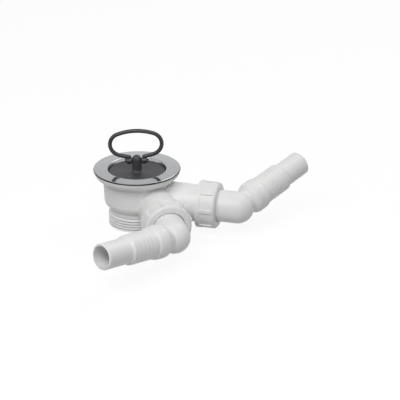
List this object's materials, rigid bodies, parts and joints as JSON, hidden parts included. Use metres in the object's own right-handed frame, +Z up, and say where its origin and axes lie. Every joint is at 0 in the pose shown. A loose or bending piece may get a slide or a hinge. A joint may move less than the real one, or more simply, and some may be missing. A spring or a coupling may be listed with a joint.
{
  "type": "sink waste outlet",
  "caption": "Sink waste with a polished steel flange, a plug on a pull ring, a threaded outlet and side branches that end in elbow hose tails.",
  "frame": {"origin": "on the outlet's axis, at the plane where the flange's turned edge meets the body's collar", "axes": "+Z up along the outlet's axis, +X along the first branch"},
  "size_m": [0.1669, 0.2046, 0.0821],
  "materials": {
    "steel": "polished stainless",
    "brass": "turned",
    "white_plastic": "satin moulded",
    "seal_rubber": "matt",
    "plug_rubber": "satin moulded",
    "black_plastic": "satin moulded"
  },
  "bodies": {
    "waste": {"strainer_flange": "steel", "centre_screw": "steel", "brass_insert": "brass", "waste_body": "white_plastic", "body_seal": "seal_rubber", "flange_seal": "seal_rubber", "first_union_nut": "white_plastic", "first_union_seal": "seal_rubber", "first_hose_elbow": "white_plastic", "second_union_nut": "white_plastic", "second_union_seal": "seal_rubber", "second_hose_elbow": "white_plastic", "plug": "plug_rubber"},
    "ring": {"pull_ring": "black_plastic"}
  },
  "joints": [
    {"name": "ring_swing", "type": "hinge", "parent": "waste", "child": "ring", "pos_m": [0, 0, 0.0071], "axis": [0.9659, 0.2588, 0], "range_deg": [-99, 99]}
  ]
}
